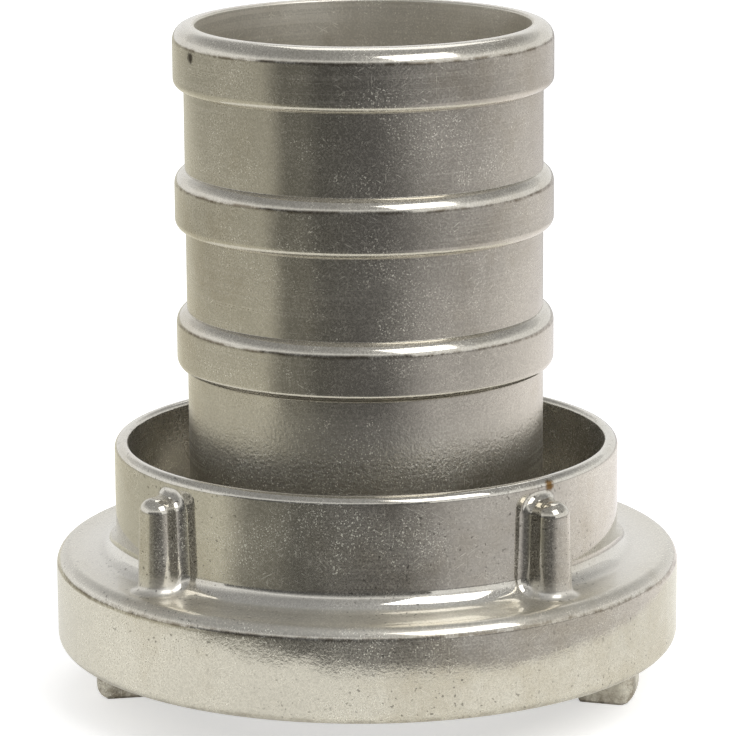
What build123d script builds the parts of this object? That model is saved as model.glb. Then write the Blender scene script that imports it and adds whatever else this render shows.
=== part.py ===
from build123d import *
import os
from math import cos, hypot, radians, sin

# One half of a quarter-turn lug coupling for a 75 mm delivery hose.
# A forged lug head swivels on a turned hose tail, and a split ring keeps it there.
# Millimetres. Z = 0 is the floor under the lug feet: the coupling face looks down
# and the hose tail points up, with the waterway on the Z axis and the lugs on the X axis.
# Angles are counted anticlockwise from +X, seen from the tail end.

# Waterway and hose tail
BORE_R = 33.4
TUBE_WALL = 2.35
PLAIN_TUBE = 15.2
RIB_COUNT = 3
RIB_PITCH = 28.2
RIB_PROUD = 2.1
RIB_BAND = 11.8
RIB_UPPER_ROUND = 2.9
RIB_LOWER_ROUND = 1.9
RIM_BAND = 12.5
RIM_LAND = 0.75
RIM_INNER_ROUND = 0.5

# Journal that the head turns on, and the collar that carries the seal
JOURNAL_STEP = 0.75
JOURNAL_SHOULDER = 1.7
JOURNAL_CONE = 3.0
RUNNING_GAP = 0.08
THRUST_GAP = 0.3
COLLAR_PROUD = 4.9
COLLAR_ROUND = 0.8

# Face seal and its undercut seat
SEAT_DEPTH = 6.0
SEAT_LIP = 2.3
SEAT_WALL = 1.9
SEAT_UNDERCUT = 1.4
SEAL_BORE_STEP = 0.6
SEAL_FIT = 0.3
SEAL_PROUD = 0.4
SEAL_EDGE = 1.2
SEAL_GROOVE_WIRE = 0.9

# Split retaining ring
RING_WIRE_R = 1.5
RING_GROOVE_FIT = 0.05
RING_SUNK = 0.1
RING_SPLIT = 9.0

# Lugs, whose inner faces just pass the mating half's collar
LUG_PASS = 1.0
LUG_REACH = 10.9
LUG_HALF_ANGLE = 14.0
STEM_THICK = 5.5
HOOK_REACH = 5.5
HOOK_THICK = 5.9
HOOK_FOOT_ROUND = 2.2
HOOK_TIP_ROUND = 0.8
LUG_CORNER_ROUND = 2.6

# Lug pocket, and the two ramped lips that the mating lugs hook behind
HOOK_CLEARANCE = 0.8
LUG_END_CLEARANCE = 2.0
LIP_CLEARANCE = 0.3
POCKET_ROUND = 1.5
ENTRY_CENTRE = 60.0
ENTRY_ROOM = 6.0
LIP_RISE = 1.3
LIP_EDGE_ROUND = 0.6
RAMP_STATIONS = 7

# Head flange, skirt and wrench ribs
FLANGE_ROOF = 6.5
FLANGE_TOP_ROUND = 2.9
FLANGE_FACE_ROUND = 2.5
WEB_THICK = 4.2
HUB_BOSS = 3.4
BORE_EDGE_ROUND = 0.5
HOSE_ROOM = 10.25
SKIRT_WALL = 2.75
SKIRT_RISE = 22.3
SKIRT_LAND = 0.25
SKIRT_INNER_ROUND = 0.9
SKIRT_FLOOR_ROUND = 2.5
SKIRT_ROOT_ROUND = 4.0
WRENCH_RIB_COUNT = 4
WRENCH_RIB_FIRST = 45.0
WRENCH_RIB_WIDTH = 8.2
WRENCH_RIB_PROUD = 7.2
WRENCH_RIB_TOP_ROUND = 2.6
WRENCH_RIB_COVE = 1.8
WRENCH_RIB_LAND = 0.25
WRENCH_RIB_DRAFT = 2.0

# Radii, from the waterway outwards
TUBE_R = BORE_R + TUBE_WALL
RIB_R = TUBE_R + RIB_PROUD
JOURNAL_R = RIB_R + JOURNAL_STEP
HEAD_BORE_R = JOURNAL_R + RUNNING_GAP
COLLAR_R = JOURNAL_R + COLLAR_PROUD
SEAT_R = COLLAR_R - SEAT_WALL
SEAT_MOUTH_R = SEAT_R - SEAT_UNDERCUT
RING_R = JOURNAL_R - RING_SUNK
LUG_INNER_R = COLLAR_R + LUG_PASS
STEM_OUTER_R = LUG_INNER_R + STEM_THICK
HOOK_R = STEM_OUTER_R + HOOK_REACH
LIP_R = STEM_OUTER_R + LIP_CLEARANCE
POCKET_R = HOOK_R + HOOK_CLEARANCE
SKIRT_INNER_R = RIB_R + HOSE_ROOM
SKIRT_R = SKIRT_INNER_R + SKIRT_WALL
WRENCH_RIB_R = SKIRT_R + WRENCH_RIB_PROUD
FLANGE_R = WRENCH_RIB_R + WRENCH_RIB_COVE + WRENCH_RIB_LAND + FLANGE_TOP_ROUND

# Heights, from the feet of the lugs upwards
FACE_Z = LUG_REACH
POCKET_FLOOR_Z = FACE_Z + LUG_REACH + LUG_END_CLEARANCE
HUB_FRONT_Z = POCKET_FLOOR_Z - HUB_BOSS
COLLAR_BACK_Z = HUB_FRONT_Z - THRUST_GAP
FLANGE_TOP_Z = POCKET_FLOOR_Z + FLANGE_ROOF
WEB_TOP_Z = POCKET_FLOOR_Z + WEB_THICK
RING_Z = WEB_TOP_Z + THRUST_GAP + RING_WIRE_R
JOURNAL_END_Z = RING_Z + RING_WIRE_R + JOURNAL_SHOULDER
SKIRT_TOP_Z = FLANGE_TOP_Z + SKIRT_RISE
FIRST_RIB_Z = SKIRT_TOP_Z + PLAIN_TUBE

# Rounds, lips and openings that follow from the sizes beside them
RIM_OUTER_ROUND = RIB_R - BORE_R - RIM_LAND - RIM_INNER_ROUND
SKIRT_OUTER_ROUND = SKIRT_WALL - SKIRT_LAND - SKIRT_INNER_ROUND
WRENCH_RIB_NOSE = WRENCH_RIB_WIDTH / 2 - WRENCH_RIB_LAND
WRENCH_RIB_TOP_Z = SKIRT_TOP_Z - SKIRT_OUTER_ROUND - WRENCH_RIB_COVE - WRENCH_RIB_LAND
LIP_THICK = LUG_REACH - HOOK_THICK
ENTRY_HALF_ANGLE = LUG_HALF_ANGLE + ENTRY_ROOM
OVERLAP = 0.7


def box_section(inner, outer, low, high):
    """Rectangle between two radii and two heights, as (radius, height) points."""
    return make_face(Polyline((inner, low), (outer, low), (outer, high), (inner, high), close=True))


def rounded(section, rounds):
    """Round the corners of a section, given as (radius, height, rounding)."""
    for r, z, size in rounds:
        corner = section.vertices().sort_by_distance((r, z, 0))[0]
        section = fillet(corner, size)
    return section


def turned(section, arc=360, start=0):
    """Turn a section of (radius, height) points round the Z axis."""
    return Rot(0, 0, start) * revolve(Plane.XZ * section, Axis.Z, arc)


def hose_tail():
    """Ribbed tube, journal with its ring groove, and front collar with the undercut seal seat."""
    rib_bottoms = [FIRST_RIB_Z + i * RIB_PITCH for i in range(RIB_COUNT)]
    top_z = rib_bottoms[-1] + RIM_BAND
    cone_end_z = JOURNAL_END_Z + JOURNAL_CONE
    section = box_section(BORE_R, TUBE_R, FACE_Z, top_z)
    for low in rib_bottoms[:-1]:
        high = low + RIB_BAND
        rib = box_section(BORE_R, RIB_R, low, high)
        section += rounded(rib, [(RIB_R, low, RIB_LOWER_ROUND), (RIB_R, high, RIB_UPPER_ROUND)])
    rim = box_section(BORE_R, RIB_R, rib_bottoms[-1], top_z)
    section += rounded(rim, [(RIB_R, rib_bottoms[-1], RIB_LOWER_ROUND), (RIB_R, top_z, RIM_OUTER_ROUND)])
    journal = make_face(Polyline(
        (BORE_R, FACE_Z), (JOURNAL_R, FACE_Z), (JOURNAL_R, JOURNAL_END_Z),
        (TUBE_R, cone_end_z), (BORE_R, cone_end_z), close=True))
    collar = box_section(BORE_R, COLLAR_R, FACE_Z, COLLAR_BACK_Z)
    collar = rounded(collar, [(COLLAR_R, FACE_Z, COLLAR_ROUND), (COLLAR_R, COLLAR_BACK_Z, COLLAR_ROUND)])
    section += journal + collar
    section -= box_section(BORE_R, SEAT_MOUTH_R, FACE_Z, FACE_Z + SEAT_DEPTH)
    section -= box_section(BORE_R, SEAT_R, FACE_Z + SEAT_LIP, FACE_Z + SEAT_DEPTH)
    section -= Pos(RING_R, RING_Z) * Circle(RING_WIRE_R + RING_GROOVE_FIT)
    section = rounded(section, [(BORE_R, top_z, RIM_INNER_ROUND)])
    return turned(section)


def face_seal():
    """Rubber ring held behind the seat's lip, with a pressure groove in its back."""
    inner = BORE_R + SEAL_BORE_STEP
    front = FACE_Z - SEAL_PROUD
    shoulder = FACE_Z + SEAT_LIP + SEAL_FIT
    back = FACE_Z + SEAT_DEPTH - SEAL_FIT
    neck_r = SEAT_MOUTH_R - SEAL_FIT
    section = box_section(inner, neck_r, front, back)
    section = rounded(section, [(neck_r, front, SEAL_EDGE), (inner, front, SEAL_EDGE)])
    section += box_section(inner, SEAT_R - SEAL_FIT, shoulder, back)
    groove = Pos((inner + SEAT_MOUTH_R) / 2, back) * Circle(SEAL_GROOVE_WIRE)
    return turned(section - groove)


def snap_ring():
    """Round-wire split ring in the journal's groove, just behind the head's web."""
    wire = Pos(RING_R, RING_Z) * Circle(RING_WIRE_R)
    return turned(wire, 360 - RING_SPLIT, RING_SPLIT / 2)


def head_body():
    """Turned form of the head: hub, web, pocket, outer ring and skirt."""
    section = make_face(Polyline(
        (HEAD_BORE_R, HUB_FRONT_Z), (COLLAR_R, HUB_FRONT_Z), (COLLAR_R, POCKET_FLOOR_Z),
        (POCKET_R, POCKET_FLOOR_Z), (POCKET_R, FACE_Z), (FLANGE_R, FACE_Z),
        (FLANGE_R, FLANGE_TOP_Z), (SKIRT_R, FLANGE_TOP_Z), (SKIRT_R, SKIRT_TOP_Z),
        (SKIRT_INNER_R, SKIRT_TOP_Z), (SKIRT_INNER_R, WEB_TOP_Z), (HEAD_BORE_R, WEB_TOP_Z), close=True))
    section = rounded(section, [
        (HEAD_BORE_R, HUB_FRONT_Z, BORE_EDGE_ROUND),
        (COLLAR_R, HUB_FRONT_Z, COLLAR_ROUND),
        (COLLAR_R, POCKET_FLOOR_Z, POCKET_ROUND),
        (POCKET_R, POCKET_FLOOR_Z, POCKET_ROUND),
        (FLANGE_R, FACE_Z, FLANGE_FACE_ROUND),
        (FLANGE_R, FLANGE_TOP_Z, FLANGE_TOP_ROUND),
        (SKIRT_R, FLANGE_TOP_Z, SKIRT_ROOT_ROUND),
        (SKIRT_R, SKIRT_TOP_Z, SKIRT_OUTER_ROUND),
        (SKIRT_INNER_R, SKIRT_TOP_Z, SKIRT_INNER_ROUND),
        (SKIRT_INNER_R, WEB_TOP_Z, SKIRT_FLOOR_ROUND),
        (HEAD_BORE_R, WEB_TOP_Z, BORE_EDGE_ROUND)])
    return turned(section)


def wrench_rib():
    """Upright grip on +X, with a round nose, draft and a rounded top, left deep enough to sink into the skirt."""
    low_z = FLANGE_TOP_Z - OVERLAP
    plan = Pos(WRENCH_RIB_R / 2, 0) * Rectangle(WRENCH_RIB_R, WRENCH_RIB_WIDTH)
    plan = fillet([v for v in plan.vertices() if v.X > SKIRT_R], WRENCH_RIB_NOSE)
    rib = Pos(0, 0, low_z) * extrude(plan, WRENCH_RIB_TOP_Z - low_z, taper=WRENCH_RIB_DRAFT)
    rim = [e for e in rib.faces().sort_by(Axis.Z)[-1].edges() if e.center().X > WRENCH_RIB_WIDTH]
    return fillet(rim, WRENCH_RIB_TOP_ROUND) - extrude(Circle(SKIRT_R - SKIRT_WALL / 2), SKIRT_TOP_Z)


def gripped_body():
    """Turned form of the head with the wrench ribs on its skirt, coved all round where they join it."""
    body = head_body()
    rib = wrench_rib()
    ribs = [Rot(0, 0, WRENCH_RIB_FIRST + i * 360 / WRENCH_RIB_COUNT) * rib for i in range(WRENCH_RIB_COUNT)]
    joined = body + ribs
    return fillet(new_edges(body, *ribs, combined=joined), WRENCH_RIB_COVE)


def lip_ramp(start):
    """One lip that a mating lug hooks behind: thin where the lug enters, full at the stop."""
    section = box_section(LIP_R, POCKET_R + OVERLAP, FACE_Z, FACE_Z + LIP_THICK)
    section = rounded(section, [(LIP_R, FACE_Z, LIP_EDGE_ROUND)])
    lip = turned(section, 180 - 2 * ENTRY_HALF_ANGLE, start)
    ramp_angle = 180 - LUG_HALF_ANGLE - ENTRY_CENTRE - ENTRY_HALF_ANGLE
    width = 2 * (POCKET_R - LIP_R)
    stations = []
    for i in range(RAMP_STATIONS):
        share = i / (RAMP_STATIONS - 1)
        base_z = FACE_Z + LIP_THICK - LIP_RISE * (1 - share)
        wedge = Pos((LIP_R + POCKET_R) / 2, base_z + LIP_THICK / 2) * Rectangle(width, LIP_THICK)
        stations.append(Rot(0, 0, start + ramp_angle * share) * (Plane.XZ * wedge))
    return lip - loft(stations)


def lug_plan(outer, corner_round):
    """Plan of a lug: a ring sector about +X with rounded outer corners."""
    half = radians(LUG_HALF_ANGLE)
    sector = Circle(outer) - Circle(LUG_INNER_R)
    reach = 2 * outer
    wedge = make_face(Polyline(
        (0, 0), (reach * cos(half), -reach * sin(half)), (reach * cos(half), reach * sin(half)), close=True))
    sector &= wedge
    corners = [v for v in sector.vertices() if hypot(v.X, v.Y) > outer - OVERLAP]
    return fillet(corners, corner_round) if corner_round else sector


def lug():
    """Lug on +X: a block that fills the pocket, and a hooked foot in front of the coupling face."""
    block = extrude(lug_plan(POCKET_R + OVERLAP, 0), POCKET_FLOOR_Z + OVERLAP - FACE_Z)
    block = Pos(0, 0, FACE_Z) * block
    hook = make_face(Polyline(
        (LUG_INNER_R, 0), (HOOK_R, 0), (HOOK_R, HOOK_THICK), (STEM_OUTER_R, HOOK_THICK),
        (STEM_OUTER_R, FACE_Z + OVERLAP), (LUG_INNER_R, FACE_Z + OVERLAP), close=True))
    hook = rounded(hook, [
        (LUG_INNER_R, 0, HOOK_TIP_ROUND), (HOOK_R, 0, HOOK_FOOT_ROUND),
        (HOOK_R, HOOK_THICK, HOOK_TIP_ROUND), (STEM_OUTER_R, HOOK_THICK, HOOK_TIP_ROUND)])
    foot = turned(hook) & extrude(lug_plan(HOOK_R, LUG_CORNER_ROUND), FACE_Z + OVERLAP)
    return block + foot


def coupling_head():
    """Lug head as one forged and machined piece."""
    head = gripped_body()
    for turn in (0, 180):
        head += Rot(0, 0, turn) * lug()
        head += lip_ramp(turn + ENTRY_CENTRE + ENTRY_HALF_ANGLE)
    return head


def write_parts():
    os.makedirs("parts", exist_ok=True)
    for name, make in (("hose_tail", hose_tail), ("face_seal", face_seal),
                       ("snap_ring", snap_ring), ("coupling_head", coupling_head)):
        piece = make()
        piece.label = name
        export_step(piece, os.path.join("parts", name + ".step"))


write_parts()
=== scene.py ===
import math
from functools import reduce

import bpy
import numpy as np
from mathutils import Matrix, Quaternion, Vector


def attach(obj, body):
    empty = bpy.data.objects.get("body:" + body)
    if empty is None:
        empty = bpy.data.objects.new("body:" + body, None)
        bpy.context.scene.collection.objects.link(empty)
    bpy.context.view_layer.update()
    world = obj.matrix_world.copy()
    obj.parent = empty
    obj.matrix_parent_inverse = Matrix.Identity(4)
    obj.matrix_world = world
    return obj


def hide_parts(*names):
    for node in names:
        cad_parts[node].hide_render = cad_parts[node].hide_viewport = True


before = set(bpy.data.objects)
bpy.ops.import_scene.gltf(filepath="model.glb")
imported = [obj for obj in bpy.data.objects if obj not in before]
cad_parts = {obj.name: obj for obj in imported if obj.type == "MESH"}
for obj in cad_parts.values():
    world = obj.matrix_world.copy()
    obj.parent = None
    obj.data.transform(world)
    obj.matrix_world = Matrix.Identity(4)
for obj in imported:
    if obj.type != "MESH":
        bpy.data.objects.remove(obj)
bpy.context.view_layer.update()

# Hose coupling half: a lug head that swivels on a ribbed hose tail, standing on its two lugs.
# The head and the tail are drawn again from their solids' own sizes, with every rounding true,
# because a highlight shows each facet of a plain mesh. The split ring and the seal are the solids.
# These sizes are millimetres and degrees, as in the part's source. Angles are counted from +X.
MM = 0.001

# Hose tail
BORE_R = 33.4
TUBE_R = 35.75
RIB_R = 37.85
JOURNAL_R = 38.6
COLLAR_R = 43.5
COLLAR_ROUND = 0.8
SEAT_R = 41.6
SEAT_MOUTH_R = 40.2
FACE_Z = 10.9
SEAT_LIP_Z = FACE_Z + 2.3
SEAT_FLOOR_Z = FACE_Z + 6.0
COLLAR_BACK_Z = 20.1
RING_R = 38.5
RING_Z = 29.8
RING_GROOVE_R = 1.55
JOURNAL_END_Z = 33.0
CONE_END_Z = 36.0
RIB_COUNT = 3
RIB_PITCH = 28.2
FIRST_RIB_Z = 67.8
RIB_BAND = 11.8
RIB_UPPER_ROUND = 2.9
RIB_LOWER_ROUND = 1.9
RIB_FOOT_ROUND = 0.2
TAIL_TOP_Z = 136.7
RIM_OUTER_ROUND = 3.2
RIM_INNER_ROUND = 0.5

# Head: hub, pocket, flange and skirt
HEAD_BORE_R = 38.68
POCKET_R = 56.3
POCKET_ROUND = 1.5
FLANGE_R = 63.0
FLANGE_FACE_ROUND = 2.5
FLANGE_TOP_ROUND = 2.9
SKIRT_INNER_R = 48.1
SKIRT_R = 50.85
SKIRT_ROOT_ROUND = 4.0
SKIRT_FLOOR_ROUND = 2.5
SKIRT_OUTER_ROUND = 1.6
SKIRT_INNER_ROUND = 0.9
BORE_EDGE_ROUND = 0.5
HUB_FRONT_Z = 20.4
POCKET_FLOOR_Z = 23.8
WEB_TOP_Z = 28.0
FLANGE_TOP_Z = 30.3
SKIRT_TOP_Z = 52.6

# Head: wrench ribs, lugs and lips
WRENCH_RIB_FIRST = 45
WRENCH_RIB_SPACING = 90
WRENCH_RIB_R = 58.05
WRENCH_RIB_WIDTH = 8.2
WRENCH_RIB_NOSE = 3.85
WRENCH_RIB_TOP_Z = 48.95
WRENCH_RIB_TOP_ROUND = 2.6
WRENCH_RIB_COVE = 1.8
WRENCH_RIB_DRAFT = 2
LUG_INNER_R = 44.5
LUG_HALF_ANGLE = 14
LUG_CORNER_ROUND = 2.6
STEM_OUTER_R = 50.0
HOOK_R = 55.5
HOOK_THICK = 5.9
HOOK_FOOT_ROUND = 2.2
HOOK_TIP_ROUND = 0.8
LIP_R = 50.3
LIP_THICK = 5.0
LIP_RISE = 1.3
LIP_EDGE_ROUND = 0.6
LIP_START = 80
LIP_ARC = 140
RAMP_ARC = 86

# Edges that the solids leave sharp are broken this much, and joined forms are sunk this deep
BROKEN_EDGE = 0.25
SUNK = 0.7

# Directions of outward normals at the cone, the ring's groove and the end of a rib's slope
CONE_NORMAL = math.degrees(math.atan2(JOURNAL_R - TUBE_R, CONE_END_Z - JOURNAL_END_Z))
GROOVE_NORMAL = 90 + math.degrees(math.asin((JOURNAL_R - RING_R) / RING_GROOVE_R))
RIB_SLOPE_NORMAL = math.degrees(math.acos(1 - (RIB_R - TUBE_R) / RIB_UPPER_ROUND))

# The lathe: degrees for each step along a rounding, the distance of a support from the end of a
# straight run, the shortest run that has supports, and the steps round the axis
ARC_STEP = 9
SUPPORT = 0.12
SUPPORTED_RUN = 4 * SUPPORT
TAIL_STEPS = 256

# The head's grid: steps in radius and height, steps in degrees, and where it starts and ends
GRID_FINE, GRID_COARSE = 0.45, 1.2
TURN_FINE, TURN_COARSE = 0.48, 2.4
GRID_MARGIN = 0.9
GRID_START_Z = -0.8
GRID_LAST_TURN = 360 - 1.8

# Drawing the net onto the true surface: rounds, longest move, least square of the slope, and the
# distance over which a slope is measured
SETTLE_ROUNDS, SETTLE_MOVE, LEAST_STEEP, SLOPE_STEP = 4, 0.2, 0.25, 0.01

FAR = 1e3
TINY = 1e-6
SINE_LIMIT = 1.5


# ---- Outlines: closed lists of turns (centre radius, centre height, size, first normal, last normal) ----

def corner(r, z, size, first, last):
    """Rounding of the corner at (r, z) between two outward normals, convex where the angle grows."""
    a, b = math.radians(first), math.radians(last)
    reach = size / (1 + math.cos(b - a)) * (1 if last > first else -1)
    centre_r = r - reach * (math.cos(a) + math.cos(b))
    return centre_r, z - reach * (math.sin(a) + math.sin(b)), size, first, last


def point_on(turn, normal):
    """Point of a turn where its outward normal has this angle, with the normal."""
    r, z, size, first, last = turn
    n = math.cos(math.radians(normal)), math.sin(math.radians(normal))
    side = size if last > first else -size
    return (r + side * n[0], z + side * n[1], *n)


def straights(outline):
    """Ends of the straight run from each turn to the next."""
    for turn, after in zip(outline, outline[1:] + outline[:1]):
        yield point_on(turn, turn[4])[:2], point_on(after, after[3])[:2]


def profile(outline):
    """Points and normals along an outline, with a support beside each end of a straight run."""
    found = []
    for turn, (here, there) in zip(outline, straights(outline)):
        first, last = turn[3:]
        steps = max(2, math.ceil(abs(last - first) / ARC_STEP))
        found += [point_on(turn, first + (last - first) * i / steps) for i in range(steps + 1)]
        far = math.dist(here, there)
        if far > SUPPORTED_RUN:
            dr, dz = (there[0] - here[0]) / far, (there[1] - here[1]) / far
            found.append((here[0] + dr * SUPPORT, here[1] + dz * SUPPORT, dz, -dr))
            found.append((there[0] - dr * SUPPORT, there[1] - dz * SUPPORT, dz, -dr))
    return np.array(found)


def outline_field(outline, r, z):
    """Signed distance of points to an outline, negative in the metal."""
    best = np.full(np.broadcast(r, z).shape, FAR)
    for centre_r, centre_z, size, first, last in outline:
        side = 1 if last > first else -1
        a, b = math.radians(first), math.radians(last)
        dr, dz = side * (r - centre_r), side * (z - centre_z)
        after_start = side * (math.cos(a) * dz - math.sin(a) * dr) >= 0
        before_end = side * (math.sin(b) * dr - math.cos(b) * dz) >= 0
        gap = side * (np.hypot(dr, dz) - size)
        best = np.where(after_start & before_end & (np.abs(gap) < np.abs(best)), gap, best)
    for here, there in straights(outline):
        far = math.dist(here, there)
        if far > TINY:
            dr, dz = (there[0] - here[0]) / far, (there[1] - here[1]) / far
            along = (r - here[0]) * dr + (z - here[1]) * dz
            gap = (r - here[0]) * dz - (z - here[1]) * dr
            best = np.where((along >= 0) & (along <= far) & (np.abs(gap) < np.abs(best)), gap, best)
    return best


def tail_outline():
    """Front collar with the seal's seat, journal with the ring's groove, ribbed tube and bore."""
    outline = [
        corner(SEAT_MOUTH_R, FACE_Z, BROKEN_EDGE, 180, 270),
        corner(COLLAR_R, FACE_Z, COLLAR_ROUND, 270, 360),
        corner(COLLAR_R, COLLAR_BACK_Z, COLLAR_ROUND, 0, 90),
        corner(JOURNAL_R, COLLAR_BACK_Z, BROKEN_EDGE, 90, 0),
        (RING_R, RING_Z, RING_GROOVE_R, GROOVE_NORMAL, -GROOVE_NORMAL),
        corner(JOURNAL_R, JOURNAL_END_Z, BROKEN_EDGE, 0, CONE_NORMAL),
        corner(TUBE_R, CONE_END_Z, BROKEN_EDGE, CONE_NORMAL, 0)]
    for i in range(RIB_COUNT):
        low = FIRST_RIB_Z + i * RIB_PITCH
        slope_z = low + RIB_BAND - RIB_UPPER_ROUND
        outline.append(corner(TUBE_R, low, RIB_FOOT_ROUND, 0, -90))
        outline.append(corner(RIB_R, low, RIB_LOWER_ROUND, 270, 360))
        if i < RIB_COUNT - 1:
            outline.append((RIB_R - RIB_UPPER_ROUND, slope_z, RIB_UPPER_ROUND, 0, RIB_SLOPE_NORMAL))
    return outline + [
        corner(RIB_R, TAIL_TOP_Z, RIM_OUTER_ROUND, 0, 90),
        corner(BORE_R, TAIL_TOP_Z, RIM_INNER_ROUND, 90, 180),
        corner(BORE_R, SEAT_FLOOR_Z, BROKEN_EDGE, 180, 270),
        corner(SEAT_R, SEAT_FLOOR_Z, BROKEN_EDGE, 270, 180),
        corner(SEAT_R, SEAT_LIP_Z, BROKEN_EDGE, 180, 90),
        corner(SEAT_MOUTH_R, SEAT_LIP_Z, BROKEN_EDGE, 90, 180)]


# ---- The head as one field over (radius, angle in radians, height), negative in the metal ----

def round_join(a, b, size):
    """Union of two fields with a hollow rounding where they meet."""
    return np.maximum(size, np.minimum(a, b)) - np.hypot(np.maximum(size - a, 0), np.maximum(size - b, 0))


def round_meet(a, b, size):
    """Overlap of two fields with their common edge rounded."""
    return np.minimum(-size, np.maximum(a, b)) + np.hypot(np.maximum(size + a, 0), np.maximum(size + b, 0))


def overlap(*fields):
    """Overlap of several fields with sharp edges."""
    return reduce(np.maximum, fields)


def folded(angle, centre, spacing):
    """Angle from the nearest of several evenly spaced centre lines, all in radians."""
    return (angle - centre + spacing / 2) % spacing - spacing / 2


def turned_field(r, z):
    """Hub, web, pocket, flange and skirt."""
    return outline_field([
        corner(HEAD_BORE_R, HUB_FRONT_Z, BORE_EDGE_ROUND, 180, 270),
        corner(COLLAR_R, HUB_FRONT_Z, COLLAR_ROUND, 270, 360),
        corner(COLLAR_R, POCKET_FLOOR_Z, POCKET_ROUND, 0, -90),
        corner(POCKET_R, POCKET_FLOOR_Z, POCKET_ROUND, -90, -180),
        corner(POCKET_R, FACE_Z, BROKEN_EDGE, 180, 270),
        corner(FLANGE_R, FACE_Z, FLANGE_FACE_ROUND, 270, 360),
        corner(FLANGE_R, FLANGE_TOP_Z, FLANGE_TOP_ROUND, 0, 90),
        corner(SKIRT_R, FLANGE_TOP_Z, SKIRT_ROOT_ROUND, 90, 0),
        corner(SKIRT_R, SKIRT_TOP_Z, SKIRT_OUTER_ROUND, 0, 90),
        corner(SKIRT_INNER_R, SKIRT_TOP_Z, SKIRT_INNER_ROUND, 90, 180),
        corner(SKIRT_INNER_R, WEB_TOP_Z, SKIRT_FLOOR_ROUND, 180, 90),
        corner(HEAD_BORE_R, WEB_TOP_Z, BORE_EDGE_ROUND, 90, 180)], r, z)


def wrench_rib_field(r, angle, z):
    """The round-nosed grips, with draft and rounded tops."""
    angle = folded(angle, math.radians(WRENCH_RIB_FIRST), math.radians(WRENCH_RIB_SPACING))
    out = r * np.cos(angle) - WRENCH_RIB_R + WRENCH_RIB_NOSE
    across = np.abs(r * np.sin(angle)) - WRENCH_RIB_WIDTH / 2 + WRENCH_RIB_NOSE
    inside = np.minimum(np.maximum(out, across), 0)
    plan = np.hypot(np.maximum(out, 0), np.maximum(across, 0)) + inside - WRENCH_RIB_NOSE
    drafted = plan + (z - FLANGE_TOP_Z + SUNK) * math.tan(math.radians(WRENCH_RIB_DRAFT))
    grip = round_meet(drafted, z - WRENCH_RIB_TOP_Z, WRENCH_RIB_TOP_ROUND)
    return overlap(grip, SKIRT_R - SUNK - r, FLANGE_TOP_Z - SUNK - z)


def lug_field(r, angle, z):
    """Both lugs: blocks in the pocket, and hooked feet in front of the coupling face."""
    past_side = np.abs(folded(angle, 0, math.pi)) - math.radians(LUG_HALF_ANGLE)
    side = r * np.sin(np.minimum(past_side, math.pi / 2))
    block = overlap(side, LUG_INNER_R - r, r - POCKET_R - SUNK, FACE_Z - z, z - POCKET_FLOOR_Z - SUNK)
    hook = outline_field([
        corner(LUG_INNER_R, 0, HOOK_TIP_ROUND, 180, 270),
        corner(HOOK_R, 0, HOOK_FOOT_ROUND, 270, 360),
        corner(HOOK_R, HOOK_THICK, HOOK_TIP_ROUND, 0, 90),
        corner(STEM_OUTER_R, HOOK_THICK, HOOK_TIP_ROUND, 90, 0),
        corner(STEM_OUTER_R, FACE_Z + SUNK, BROKEN_EDGE, 0, 90),
        corner(LUG_INNER_R, FACE_Z + SUNK, BROKEN_EDGE, 90, 180)], r, z)
    foot = overlap(hook, round_meet(r - HOOK_R, side, LUG_CORNER_ROUND))
    return np.minimum(block, foot)


def lip_field(r, angle, z):
    """Both lips, which rise from where the mating lug enters to where it stops."""
    arc, ramp = math.radians(LIP_ARC), math.radians(RAMP_ARC)
    along = (angle - math.radians(LIP_START)) % math.pi
    outside, inside = np.minimum(along - arc, math.pi - along), -np.minimum(along, arc - along)
    past_end = np.clip(np.where(along > arc, outside, inside), -SINE_LIMIT, SINE_LIMIT)
    thick = LIP_THICK - LIP_RISE * (1 - np.clip(along / ramp, 0, 1))
    front = round_meet(LIP_R - r, FACE_Z - z, LIP_EDGE_ROUND)
    return overlap(r * np.sin(past_end), front, r - POCKET_R - SUNK, z - FACE_Z - thick)


def head_field(r, angle, z):
    """The whole head: turned body with coved ribs, lugs and lips."""
    body = round_join(turned_field(r, z), wrench_rib_field(r, angle, z), WRENCH_RIB_COVE)
    return np.minimum(body, np.minimum(lug_field(r, angle, z), lip_field(r, angle, z)))


# ---- Meshes ----

def smooth_piece(name, points, faces, normals):
    """Piece in metres, shaded by the form's true normals."""
    mesh = bpy.data.meshes.new(name)
    mesh.from_pydata((points * MM).tolist(), [], faces.tolist())
    mesh.shade_smooth()
    mesh.normals_split_custom_set_from_vertices(normals.tolist())
    piece = bpy.data.objects.new(name, mesh)
    bpy.context.scene.collection.objects.link(piece)
    return piece


def lathe(name, outline, steps):
    """Outline turned round the Z axis."""
    line = profile(outline)
    angles = np.arange(steps) * 2 * math.pi / steps
    turned = np.stack([np.cos(angles), np.sin(angles)], 1)

    def swept(out, up):
        flat = line[:, None, out:out + 1] * turned
        return np.concatenate([flat, np.repeat(line[:, None, up:up + 1], steps, 1)], 2).reshape(-1, 3)

    index = np.arange(len(line) * steps).reshape(len(line), steps)
    aside = np.roll(index, -1, 1)
    faces = np.stack([index, aside, np.roll(aside, -1, 0), np.roll(index, -1, 0)], 2).reshape(-1, 4)
    return smooth_piece(name, swept(0, 1), faces, swept(2, 3))


def grid_lines(low, high, coarse, fine, marks):
    """Grid lines from low to past high, close together within each mark (centre, half width)."""
    found = [low]
    while found[-1] < high:
        near = any(abs(found[-1] - centre) <= half for centre, half in marks)
        found.append(found[-1] + (fine if near else coarse))
    return np.array(found)


def field_at(field, points):
    """Field at points in X, Y and Z."""
    x, y, z = points.T
    return field(np.hypot(x, y), np.arctan2(y, x), z)


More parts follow.
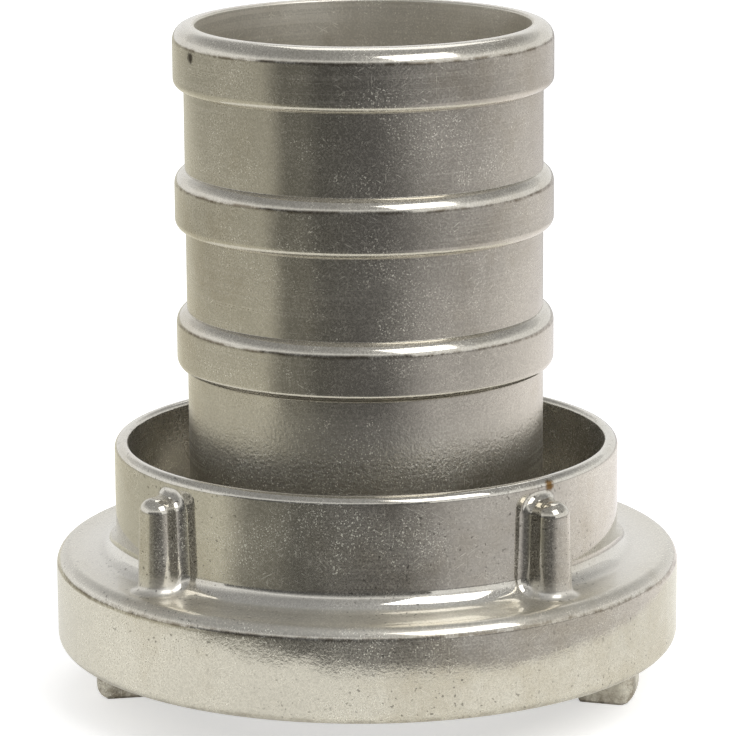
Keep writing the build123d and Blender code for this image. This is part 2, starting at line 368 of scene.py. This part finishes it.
def slope_at(field, points):
    """Gradient of a field at points."""
    moves = np.eye(3) * SLOPE_STEP
    rises = [field_at(field, points + move) - field_at(field, points - move) for move in moves]
    return np.stack(rises, 1) / (2 * SLOPE_STEP)


def net(grid, axes):
    """Surface net of a sampled field: a point in each cell that the surface crosses, joined by quads."""
    metal = grid < 0
    nr, na, nz = grid.shape
    ends = [(a, b, c) for a in (0, 1) for b in (0, 1) for c in (0, 1)]
    filled = sum(np.roll(metal, -b, 1)[a:nr - 1 + a, :, c:nz - 1 + c].astype(int) for a, b, c in ends)
    active = (filled > 0) & (filled < len(ends))
    cells = np.stack(np.nonzero(active), 1)
    number = np.full(active.shape, -1)
    number[active] = np.arange(len(cells))
    total, crossings = np.zeros((len(cells), 3)), np.zeros((len(cells), 1))
    for axis in range(3):
        for low in (end for end in ends if not end[axis]):
            here = cells + low
            there = here + np.eye(3, dtype=int)[axis]
            f0, f1 = (grid[at[:, 0], at[:, 1] % na, at[:, 2]] for at in (here, there))
            cut = (f0 < 0) != (f1 < 0)
            share = np.where(cut, f0 / np.where(cut, f0 - f1, 1), 0)
            p0, p1 = (np.stack([axes[d][at[:, d]] for d in range(3)], 1) for at in (here, there))
            total += np.where(cut[:, None], p0 + share[:, None] * (p1 - p0), 0)
            crossings += cut[:, None]
    faces = []
    for axis, (one, two) in enumerate(((1, 2), (2, 0), (0, 1))):
        after = np.roll(metal, -1, axis)
        for edges, order in ((metal & ~after, (0, 1, 2, 3)), (~metal & after, (3, 2, 1, 0))):
            at = np.stack(np.nonzero(edges), 1)
            quad = []
            for back in ((1, 1), (0, 1), (0, 0), (1, 0)):
                cell = at.copy()
                cell[:, one] -= back[0]
                cell[:, two] -= back[1]
                quad.append(number[cell[:, 0], cell[:, 1] % na, cell[:, 2]])
            faces.append(np.stack([quad[i] for i in order], 1))
    return total / crossings, np.concatenate(faces)


def skin(name, field, radii, angles, heights):
    """Surface of a field as a piece: its net on a round grid, drawn onto the true surface."""
    grid = field(radii[:, None, None], angles[None, :, None], heights[None, None, :])
    found, faces = net(grid, (radii, np.append(angles, angles[0] + 2 * math.pi), heights))
    r, angle, z = found.T
    points = np.stack([r * np.cos(angle), r * np.sin(angle), z], 1)
    for _ in range(SETTLE_ROUNDS):
        slope = slope_at(field, points)
        steep = np.maximum((slope ** 2).sum(1), LEAST_STEEP)
        move = np.clip(field_at(field, points) / steep, -SETTLE_MOVE, SETTLE_MOVE)
        points -= slope * move[:, None]
    normals = slope_at(field, points)
    return smooth_piece(name, points, faces, normals / np.linalg.norm(normals, axis=1)[:, None])


# ---- The two rebuilt pieces ----

def hose_tail():
    piece = lathe("turned_tail", tail_outline(), TAIL_STEPS)
    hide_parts("hose_tail")
    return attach(piece, "tail")


def coupling_head():
    """The head's grid is fine along every edge: at (centre, half width) in radius, height and angle."""
    walls = (HEAD_BORE_R, COLLAR_R, LUG_INNER_R, SKIRT_INNER_R, SKIRT_R, HOOK_R, POCKET_R)
    radius_marks = [(r, GRID_MARGIN) for r in walls]
    radius_marks += [(SKIRT_R + 2, 2.4), (WRENCH_RIB_R - 1, 2), (FLANGE_R - 1.4, 2)]
    height_marks = [
        (0, 3), (HOOK_THICK, 1.5), (FACE_Z + 1, 2.4), (FACE_Z + LIP_THICK, 1.5), (HUB_FRONT_Z, 1.5),
        (POCKET_FLOOR_Z, 1.4), (WEB_TOP_Z + 2, 4), (FLANGE_TOP_Z + 2, 4), (WRENCH_RIB_TOP_Z - 1, 2.8),
        (SKIRT_TOP_Z - 0.8, 1.9)]
    ends = (LUG_HALF_ANGLE, LIP_START + LIP_ARC - 180, LIP_START, 180 - LUG_HALF_ANGLE)
    turn_marks = [(half_turn + end, 1) for half_turn in (0, 180) for end in ends]
    turn_marks += [(rib, 8.6) for rib in range(WRENCH_RIB_FIRST, 360, WRENCH_RIB_SPACING)]
    radii = grid_lines(
        HEAD_BORE_R - GRID_MARGIN, FLANGE_R + GRID_MARGIN, 2 * GRID_FINE, GRID_FINE, radius_marks)
    heights = grid_lines(GRID_START_Z, SKIRT_TOP_Z + GRID_MARGIN, GRID_COARSE, GRID_FINE, height_marks)
    turns = grid_lines(0, GRID_LAST_TURN, TURN_COARSE, TURN_FINE, turn_marks)
    piece = skin("forged_head", head_field, radii, np.radians(turns), heights)
    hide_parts("coupling_head")
    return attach(piece, "head")


# ---- Materials: every pattern is laid in the piece's own coordinates, which are metres ----
# Azimuths are degrees from -Y, the photo's side, and grow towards +X.

TURNED_TONE = (0.68, 0.65, 0.58)
FORGED_TONE = (0.7, 0.675, 0.61)
WIRE_TONE = (0.5, 0.49, 0.47)
RUBBER_TONE = (0.03, 0.03, 0.03)
# Colour of dirt, and of the painted shade at the ribs' feet, the flange's lower edge and the lugs
GRIME_AND_SHADE = (0.17, 0.135, 0.09)
RUST = (0.22, 0.13, 0.05)
# Lighter colour for the flange's land round the skirt's foot: a painted highlight
LAND_HIGHLIGHT = (0.78, 0.76, 0.71)
PIT = (0.16, 0.15, 0.13)
FILM = (0.4, 0.34, 0.23)

# Noises: features a metre, detail and roughness
TONE_PATCHES = (38, 4, 0.6)
GRAIN = (2400, 2, 0.6)
BLASTED = (1500, 3, 0.6)
WAVES = (55, 2, 0.5)
FLECKS, FLECK_PATCHES = (3100, 1, 0.5), (75, 4, 0.7)
HAIR_PATCHES = (90, 2, 0.5)
LATHE_PATCHES = (24, 2, 0.5)
FILM_PATCHES = (21, 5, 0.7)
DIRT_AND_SHADE_PATCHES = (260, 4, 0.75)
PITS, PIT_PATCHES = (1500, 0, 0.5), (45, 2, 0.5)
WANDER = (60, 3, 0.6)
RAGGED = (900, 3, 0.7)
FINE_GRAIN = (900, 3, 0.6)

# Lathe lines: features a metre across them and round the piece
LATHE_ACROSS, LATHE_ALONG = 2300, 14

# Hair scratches: features a metre, how much longer than wide, and their turns from the level in radians
HAIRS, HAIR_STRETCH, HAIR_TURNS = 3300, 0.11, (0.5, 1.6, 2.6)

# Share of the skin that each pattern scuffs where it is strongest
SCUFFED_PATCHES, SCUFFED_MARKS, SCUFFED_LINES, SCUFFED_GRAIN, SCUFFED_BLAST = 0.14, 0.7, 0.3, 0.17, 0.3
SCUFFED_ROUGHNESS = 0.4

# Depth of the relief in metres, and how strongly the clear sheen, the scuffs and plain pieces show it
RELIEF, FINE_RELIEF = 0.0005, 0.0001
SHEEN_RELIEF, SCUFFED_RELIEF, PLAIN_RELIEF = 0.35, 0.8, 0.4

# Marks that stand where the photo has them: azimuth, height and size
STAIN = (48, 51.2, 1.9)
NICK = (-58.9, 132.3, 1.9)

# Half width of the dirt under a rib's crown, and the middle and half width of the blasted tube's end
CROWN_DIRT = 0.55
BLASTED_TOP_Z, BLASTED_FADE = 64, 5


class Graph:
    """Node material under construction. Each method adds nodes and returns the output of the last."""

    def __init__(self, name):
        self.material = bpy.data.materials.new(name)
        self.material.use_nodes = True
        self.tree = self.material.node_tree
        self.tree.nodes.clear()
        self.place = self.add("TexCoord", {}, "Object")
        self.x, self.y, self.z = (self.add("SeparateXYZ", {0: self.place}, i) for i in range(3))
        self.radius = self.length(self.x, self.y)
        self.azimuth = self.math("ARCTAN2", self.x, self.times(self.y, -1))
        round_the_piece = self.times(self.azimuth, self.radius)
        self.skin = self.add("CombineXYZ", {0: round_the_piece, 1: self.z, 2: self.radius})

    def add(self, kind, values, output=0, **settings):
        """One node, with its inputs linked or set."""
        node = self.tree.nodes.new("ShaderNode" + kind)
        for key, value in settings.items():
            setattr(node, key, value)
        for key, value in values.items():
            if isinstance(value, bpy.types.NodeSocket):
                self.tree.links.new(value, node.inputs[key])
            else:
                node.inputs[key].default_value = value
        return node.outputs[output]

    def math(self, operation, *values):
        return self.add("Math", dict(enumerate(values)), operation=operation)

    def times(self, value, factor):
        return self.math("MULTIPLY", value, factor)

    def total(self, *values):
        return reduce(lambda a, b: self.math("ADD", a, b), values)

    def most(self, *values):
        return reduce(lambda a, b: self.math("MAXIMUM", a, b), values)

    def length(self, x, y):
        return self.math("SQRT", self.total(self.times(x, x), self.times(y, y)))

    def ramp(self, value, start, end, low=0.0, high=1.0):
        """Smooth step from low to high as the value goes from start to end."""
        values = {0: value, 1: start, 2: end, 3: low, 4: high}
        return self.add("MapRange", values, interpolation_type="SMOOTHSTEP")

    def step(self, value, start, end, low=0.0, high=1.0):
        """Smooth step over a length, with its start and end in millimetres."""
        return self.ramp(value, start * MM, end * MM, low, high)

    def near(self, value, centre, half):
        """One at the centre, falling smoothly to none at half away, in millimetres."""
        return self.step(self.math("ABSOLUTE", self.math("SUBTRACT", value, centre * MM)), half, 0)

    def noise(self, scale, detail, rough, stretch=(1, 1, 1)):
        place = self.add("Mapping", {"Vector": self.place, "Scale": stretch})
        return self.add("TexNoise", {"Vector": place, "Scale": scale, "Detail": detail, "Roughness": rough})

    def lines(self, scale, thin, turn):
        """Noise of short lines that lie in the surface, turned by an angle from the level."""
        place = self.add("Mapping", {"Vector": self.skin, "Rotation": (0, 0, turn)})
        place = self.add("Mapping", {"Vector": place, "Scale": (thin, 1, 1)})
        return self.add("TexNoise", {"Vector": place, "Scale": scale, "Detail": 0})

    def wandering(self, value, size):
        """Value moved either way by a noise, up to half of size in millimetres."""
        away = self.math("SUBTRACT", self.noise(*WANDER), 0.5)
        return self.total(value, self.times(away, size * MM))

    def spot(self, radius, azimuth, z, size):
        """Ragged spot at a place on a turned surface."""
        a = math.radians(azimuth)
        centre = (radius * math.sin(a) * MM, -radius * math.cos(a) * MM, z * MM)
        away = self.add("VectorMath", {0: self.place, 1: centre}, 1, operation="DISTANCE")
        ragged = self.total(away, self.times(self.noise(*RAGGED), size * MM))
        return self.step(ragged, size * 1.3, size * 0.8)

    def tint(self, amount, below, above):
        """Colour that goes from below to above as the amount goes from 0 to 1."""
        colors = (c if isinstance(c, bpy.types.NodeSocket) else (*c, 1) for c in (below, above))
        return self.add("MixRGB", {0: amount, **dict(enumerate(colors, 1))})

    def bump(self, height, strength, depth=RELIEF):
        return self.add("Bump", {"Strength": strength, "Distance": depth, "Height": height})

    def surface(self, color, metallic, rough, normal):
        return self.add("BsdfPrincipled", {
            "Base Color": color, "Metallic": metallic, "Roughness": rough, "Normal": normal})

    def finished(self, shader):
        self.tree.links.new(shader, self.tree.nodes.new("ShaderNodeOutputMaterial").inputs[0])
        return self.material


def shaded(tone, factor):
    return tuple(min(1, c * factor) for c in tone)


def marks_and_glints(g):
    """One where the skin has a fleck or a hair scratch, which lie in worn patches. These are real wear; the
    material paints them lighter, a painted glint.
    """
    flecks = g.ramp(g.noise(*FLECKS), 0.63, 0.7)
    hairs = g.most(*(g.ramp(g.lines(HAIRS, HAIR_STRETCH, turn), 0.755, 0.8) for turn in HAIR_TURNS))
    return g.most(g.times(flecks, g.ramp(g.noise(*FLECK_PATCHES), 0.42, 0.62)),
                  g.times(hairs, g.ramp(g.noise(*HAIR_PATCHES), 0.48, 0.64, 0, 0.5)))


def worn_alloy(name, tone, haze, lathe_lines, sharp, dirt_and_shade_places, blasted_places, dull_places, spots):
    """Bright alloy under years of handling: a clear sheen of roughness sharp, scuffed everywhere by haze
    and more by patches, marks and lathe lines. The last four arguments say where it is otherwise."""
    g = Graph(name)
    patches, grain, waves = g.noise(*TONE_PATCHES), g.noise(*GRAIN), g.noise(*WAVES)
    rings = g.noise(1, 3, 0.6, (LATHE_ALONG, LATHE_ALONG, LATHE_ACROSS))
    lined = g.times(g.ramp(rings, 0.45, 0.62), g.ramp(g.noise(*LATHE_PATCHES), 0.4, 0.62, 0, lathe_lines))
    marks = marks_and_glints(g)
    blasted = blasted_places(g)
    dimples = g.times(g.noise(*BLASTED), blasted)

    scuffed = g.math("MINIMUM", g.total(
        haze, g.ramp(patches, 0.35, 0.7, 0, SCUFFED_PATCHES), g.times(marks, SCUFFED_MARKS),
        g.times(lined, SCUFFED_LINES), g.ramp(grain, 0.42, 0.7, 0, SCUFFED_GRAIN),
        g.times(blasted, SCUFFED_BLAST), dull_places(g)), 1.0)

    sheen_color = g.tint(g.ramp(patches, 0.3, 0.7), shaded(tone, 0.93), shaded(tone, 1.04))
    sheen_color = g.tint(g.ramp(grain, 0.6, 0.36, 0, 0.45), sheen_color, shaded(tone, 0.55))
    # Flecks and scratches are real wear, and their lighter colour is a painted glint
    scuffed_color = g.tint(g.times(marks, 0.8), shaded(tone, 1.1), shaded(tone, 1.5))
    film = g.ramp(g.noise(*FILM_PATCHES), 0.47, 0.7, 0, 0.4)
    # Dirt, and painted shade where each piece's mask puts it, both in the grime colour
    dirt_and_shade = g.times(dirt_and_shade_places(g), g.ramp(g.noise(*DIRT_AND_SHADE_PATCHES), 0.36, 0.62))
    for mask, color in ((film, FILM), (dirt_and_shade, GRIME_AND_SHADE), *spots(g)):
        sheen_color = g.tint(mask, sheen_color, color)
        scuffed_color = g.tint(mask, scuffed_color, color)

    smooth = g.total(waves, g.times(rings, 0.008 * lathe_lines), g.times(grain, 0.02), g.times(dimples, 0.9))
    rugged = g.total(g.times(waves, 0.6), g.times(grain, 0.07), g.times(marks, 0.05), g.times(dimples, 0.4))
    sheen_rough = g.total(sharp, g.times(patches, 0.05), g.times(blasted, 0.08))
    scuffed_rough = g.total(SCUFFED_ROUGHNESS, g.times(grain, 0.1))
    return g.finished(g.add("MixShader", {
        0: scuffed,
        1: g.surface(sheen_color, 1, sheen_rough, g.bump(smooth, SHEEN_RELIEF)),
        2: g.surface(scuffed_color, 1, scuffed_rough, g.bump(rugged, SCUFFED_RELIEF))}))


def tail_dirt_and_shade(g):
    """Dirt under the crown of each rib's slope, and painted shade in the crease at its foot, under the rib.
    """
    height = g.wandering(g.z, 1.6)
    found = 0.0
    for i in range(RIB_COUNT):
        low = FIRST_RIB_Z + i * RIB_PITCH
        crown = low + RIB_BAND - RIB_UPPER_ROUND if i < RIB_COUNT - 1 else TAIL_TOP_Z - RIM_OUTER_ROUND
        # The band at each rib's foot, under the rib, is painted shade; the crown band is dirt.
        found = g.most(found, g.near(height, crown + 0.3, CROWN_DIRT), g.times(g.near(g.z, low, 0.5), 0.6))
    return g.times(found, g.step(g.radius, TUBE_R - 1, TUBE_R - 0.5, 0, 0.85))


def tail_blasted(g):
    """The lower tube is as blasted."""
    low = g.step(g.z, BLASTED_TOP_Z + BLASTED_FADE, BLASTED_TOP_Z - BLASTED_FADE, 0, 0.7)
    return g.times(low, g.step(g.radius, BORE_R + 0.3, BORE_R + 0.9))


def tail_dull(g):
    """The bore is dull."""
    return g.step(g.radius, BORE_R + 0.9, BORE_R + 0.3, 0, 0.65)


def tail_spots(g):
    return [(g.spot(RIB_R, *NICK), shaded(GRIME_AND_SHADE, 0.35))]


def head_dirt_and_shade(g):
    """Dirt along the flange's upper edge; painted shade along its lower face edge and over the lugs below
    the coupling face.
    """
    height = g.wandering(g.z, 1.4)
    # The upper band is dirt; the lower band is painted shade.
    upper, lower = g.near(height, FLANGE_TOP_Z - 2.2, 0.7), g.near(height, FACE_Z + 0.9, 0.8)
    edges = g.times(g.most(upper, g.times(lower, 0.5)), g.step(g.radius, FLANGE_R - 3, FLANGE_R - 1, 0, 0.8))
    # Everything below the coupling face, the lugs' feet and hooks, is darkened as painted shade.
    return g.most(edges, g.step(g.z, FACE_Z + 0.4, FACE_Z - 0.4, 0, 0.7))


def head_blasted(g):
    """The flange's rim and all within the skirt are as forged."""
    rim = g.step(g.radius, FLANGE_R - 1.5, FLANGE_R - 0.5, 0, 0.06)
    return g.most(rim, g.step(g.radius, SKIRT_INNER_R + 0.6, SKIRT_INNER_R, 0, 0.4))


def head_dull(g):
    """The flange's upper face is satin, and the pocket under it is dull."""
    within = g.step(g.radius, POCKET_R, POCKET_R - 0.4, 0, 0.4)
    pocket = g.times(within, g.step(g.z, POCKET_FLOOR_Z + 1, POCKET_FLOOR_Z - 1))
    beyond = g.step(g.radius, SKIRT_R + 0.5, SKIRT_R + 3)
    above = g.step(g.z, FLANGE_TOP_Z - 2, FLANGE_TOP_Z - 0.6)
    below = g.step(g.z, FLANGE_TOP_Z + 5, FLANGE_TOP_Z + 1, 0, 0.55)
    return g.most(pocket, g.times(g.times(beyond, above), below))


def head_spots(g):
    """A painted highlight, a lighter colour on the land round the skirt's foot; pits all over, and a stain
    on the skirt.
    """
    land_highlight = g.times(g.near(g.radius, SKIRT_R + 4, 6), g.near(g.z, FLANGE_TOP_Z + 1, 3))
    pits = g.times(g.ramp(g.noise(*PITS), 0.73, 0.79), g.ramp(g.noise(*PIT_PATCHES), 0.42, 0.6, 0, 0.7))
    return [(land_highlight, LAND_HIGHLIGHT), (pits, PIT), (g.spot(SKIRT_R, *STAIN), RUST)]


def plain(name, color, metallic, rough):
    """Even material with a fine grain."""
    g = Graph(name)
    grain = g.noise(*FINE_GRAIN)
    return g.finished(g.surface(
        g.tint(g.ramp(grain, 0.3, 0.7), shaded(color, 0.8), color), metallic,
        g.total(rough, g.times(grain, 0.15)), g.bump(grain, PLAIN_RELIEF, FINE_RELIEF)))


# ---- Studio: a pale floor under a white world ----
# Three sheets that only mirrors see stand for the room: a floor, a grey ceiling and a dark wall in front.
# Lengths are metres. Levels are shares of full white.

CAMERA_DISTANCE, CAMERA_AZIMUTH, CAMERA_ELEVATION, CAMERA_ROLL = 0.8264, 3.7, 12.89, -0.42
TARGET_Z, LENS, SHIFT_X = 0.0664, 200.5, 0.0033
KEY = {"azimuth": 44, "elevation": 44, "distance": 1.25, "size": 0.8, "radiance": 2.9}
BACK = {"azimuth": 178, "elevation": 52, "distance": 1.4, "size": 0.7, "radiance": 1.5}
WORLD_LIGHT = 0.6
FLOOR_SIZE, FLOOR_TONE, FLOOR_GLOW = 8, (0.88, 0.88, 0.88), 0.52
MATT = {"Roughness": 0.8, "Specular IOR Level": 0.1}
CEILING_Z, CEILING_SIZE, CEILING_EVEN_R = 2.1, 10, 2.2
CEILING_LEVEL, CEILING_EDGE_LEVEL = 0.36, 0.75
ROOM_Y, ROOM_LEFT, ROOM_RIGHT = -2.6, -5, 1.6
ROOM_EVEN_HEIGHT, ROOM_HEIGHT = 0.35, 1.5
ROOM_LEVEL, ROOM_TOP_LEVEL = 0.1, 0.95

# The mirrored floor is pale within a circle beside the part. Past it, it has a level of its own and more
# after each turn: the azimuth where that begins, the one where it is full, and how much it is.
MIRRORED_SIZE, MIRRORED_Z = 6, 0.0005
PALE_TONE, PALE_LIGHT, PALE_GLOW = (0.8, 0.79, 0.73), (1, 0.98, 0.92, 1), 0.3
PALE_R, PALE_X, PALE_EDGE = 0.136, -0.012, 0.001
DARK_LEVEL = 0.08
DARK_TURNS = ((-22, -34, 0.09), (-44, -60, 0.4), (-110, -165, 0.34), (8, 60, 0.2), (55, 135, 0.6))
BEHIND_SHADE, BEHIND_HALF = -0.35, 0.45
CLOSE_LEVEL, CLOSE_TURNS = 0.03, ((12, 50, 0.3), (-30, -60, 0.12))
CLOSE_R, CLOSE_END_R = 0.22, 0.52
WARM_GREEN, WARM_BLUE, COOL_BLUE = 0.96, 0.79, 0.95


def direction(azimuth, elevation):
    """Direction from the part, with azimuth 0 towards -Y and growing towards +X."""
    a, e = math.radians(azimuth), math.radians(elevation)
    return Vector((math.sin(a) * math.cos(e), -math.cos(a) * math.cos(e), math.sin(e)))


def aimed(name, data, back, distance, roll=0.0):
    """Camera or lamp on the far side of back, looking at the middle of the part."""
    thing = bpy.data.objects.new(name, data)
    bpy.context.scene.collection.objects.link(thing)
    thing.rotation_mode = "QUATERNION"
    thing.rotation_quaternion = back.to_track_quat("Z", "Y") @ Quaternion((0, 0, 1), math.radians(roll))
    thing.location = Vector((0, 0, TARGET_Z)) + back * distance
    return thing


def camera():
    data = bpy.data.cameras.new("camera")
    data.lens = LENS
    data.shift_x = SHIFT_X
    back = direction(CAMERA_AZIMUTH, CAMERA_ELEVATION)
    bpy.context.scene.camera = aimed("camera", data, back, CAMERA_DISTANCE, CAMERA_ROLL)


def softbox(name, azimuth, elevation, distance, size, radiance):
    """Square lamp of an even radiance."""
    data = bpy.data.lights.new(name, "AREA")
    data.shape = "SQUARE"
    data.size = size
    data.energy = radiance * math.pi * size ** 2
    aimed(name, data, direction(azimuth, elevation), distance)


def sheet(name, corners, material):
    """Flat sheet that isn't part of the object."""
    mesh = bpy.data.meshes.new(name)
    mesh.from_pydata(corners, [], [(0, 1, 2, 3)])
    mesh.materials.append(material)
    made = bpy.data.objects.new(name, mesh)
    bpy.context.scene.collection.objects.link(made)
    return made


def level_sheet(name, size, z, material):
    h = size / 2
    return sheet(name, [(-h, -h, z), (h, -h, z), (h, h, z), (-h, h, z)], material)


def only_mirrored(*things):
    for thing in things:
        thing.visible_camera = thing.visible_diffuse = thing.visible_shadow = False


def white_world():
    """White to the eye and to mirrors, and a plain light on the object."""
    world = bpy.data.worlds.new("studio")
    bpy.context.scene.world = world
    world.use_nodes = True
    tree = world.node_tree
    background = tree.nodes["Background"]
    background.inputs["Color"].default_value = (1, 1, 1, 1)
    path = tree.nodes.new("ShaderNodeLightPath")
    seen = path.outputs["Is Camera Ray"]
    for kind in ("Is Glossy Ray", "Is Transmission Ray"):
        either = tree.nodes.new("ShaderNodeMath")
        either.operation = "MAXIMUM"
        tree.links.new(seen, either.inputs[0])
        tree.links.new(path.outputs[kind], either.inputs[1])
        seen = either.outputs[0]
    level = tree.nodes.new("ShaderNodeMapRange")
    level.inputs["To Min"].default_value = WORLD_LIGHT
    tree.links.new(seen, level.inputs["Value"])
    tree.links.new(level.outputs[0], background.inputs["Strength"])


def floor_paint():
    g = Graph("pale_floor")
    seen = g.add("LightPath", {}, "Is Camera Ray")
    return g.finished(g.add("BsdfPrincipled", {
        "Base Color": (*FLOOR_TONE, 1), **MATT,
        "Emission Color": (1, 1, 1, 1), "Emission Strength": g.times(seen, FLOOR_GLOW)}))


def mirrored_floor_paint():
    """The floor as the metal sees it: pale near the part and behind, and falling to a dark room in front."""
    g = Graph("mirrored_floor")

    def turned(level, turns):
        return g.total(level, *(g.ramp(g.azimuth, math.radians(start), math.radians(end), 0, more)
                                for start, end, more in turns))

    behind = g.ramp(g.math("ABSOLUTE", g.azimuth), math.pi - BEHIND_HALF, math.pi, 0, BEHIND_SHADE)
    close = g.times(turned(CLOSE_LEVEL, CLOSE_TURNS), g.ramp(g.radius, CLOSE_END_R, CLOSE_R))
    level = g.total(turned(DARK_LEVEL, DARK_TURNS), behind, close)
    blue = g.ramp(g.azimuth, -0.7, 0.2, WARM_BLUE, COOL_BLUE)
    dark = g.add("CombineColor", {0: level, 1: g.times(level, WARM_GREEN), 2: g.times(level, blue)})
    away = g.length(g.math("SUBTRACT", g.x, PALE_X), g.y)
    past = g.ramp(away, PALE_R - PALE_EDGE, PALE_R + PALE_EDGE)
    return g.finished(g.add("BsdfPrincipled", {
        "Base Color": g.tint(past, PALE_TONE, dark), **MATT,
        "Emission Color": PALE_LIGHT, "Emission Strength": g.times(g.math("SUBTRACT", 1, past), PALE_GLOW)}))


def ceiling_glow():
    """Grey overhead, and soft to white at its edge."""
    g = Graph("ceiling_grey")
    level = g.ramp(g.radius, CEILING_EVEN_R, CEILING_SIZE / 2, CEILING_LEVEL, CEILING_EDGE_LEVEL)
    return g.finished(g.add("Emission", {"Strength": level}))


def room_glow():
    """Dark at the floor, and soft to white above."""
    g = Graph("room_grey")
    level = g.ramp(g.z, ROOM_EVEN_HEIGHT, ROOM_HEIGHT, ROOM_LEVEL, ROOM_TOP_LEVEL)
    return g.finished(g.add("Emission", {"Strength": level}))


def studio():
    white_world()
    level_sheet("floor", FLOOR_SIZE, 0, floor_paint())
    ends = ((ROOM_LEFT, 0), (ROOM_RIGHT, 0), (ROOM_RIGHT, ROOM_HEIGHT), (ROOM_LEFT, ROOM_HEIGHT))
    only_mirrored(
        level_sheet("mirrored_floor", MIRRORED_SIZE, MIRRORED_Z, mirrored_floor_paint()),
        level_sheet("ceiling", CEILING_SIZE, CEILING_Z, ceiling_glow()),
        sheet("dark_room", [(x, ROOM_Y, z) for x, z in ends], room_glow()))
    softbox("key", **KEY)
    softbox("back", **BACK)


# ---- The scene ----

camera()
studio()
hose_tail().data.materials.append(worn_alloy(
    "turned_alloy", TURNED_TONE, haze=0.07, lathe_lines=0.6, sharp=0.1,
    dirt_and_shade_places=tail_dirt_and_shade, blasted_places=tail_blasted, dull_places=tail_dull, spots=tail_spots))
coupling_head().data.materials.append(worn_alloy(
    "forged_alloy", FORGED_TONE, haze=0.04, lathe_lines=0.3, sharp=0.035,
    dirt_and_shade_places=head_dirt_and_shade, blasted_places=head_blasted, dull_places=head_dull, spots=head_spots))
for name, material in (("snap_ring", plain("spring_wire", WIRE_TONE, metallic=1, rough=0.3)),
                       ("face_seal", plain("seal_rubber", RUBBER_TONE, metallic=0, rough=0.6))):
    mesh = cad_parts[name].data
    mesh.materials.clear()
    mesh.materials.append(material)
bpy.context.scene.view_settings.view_transform = "Standard"
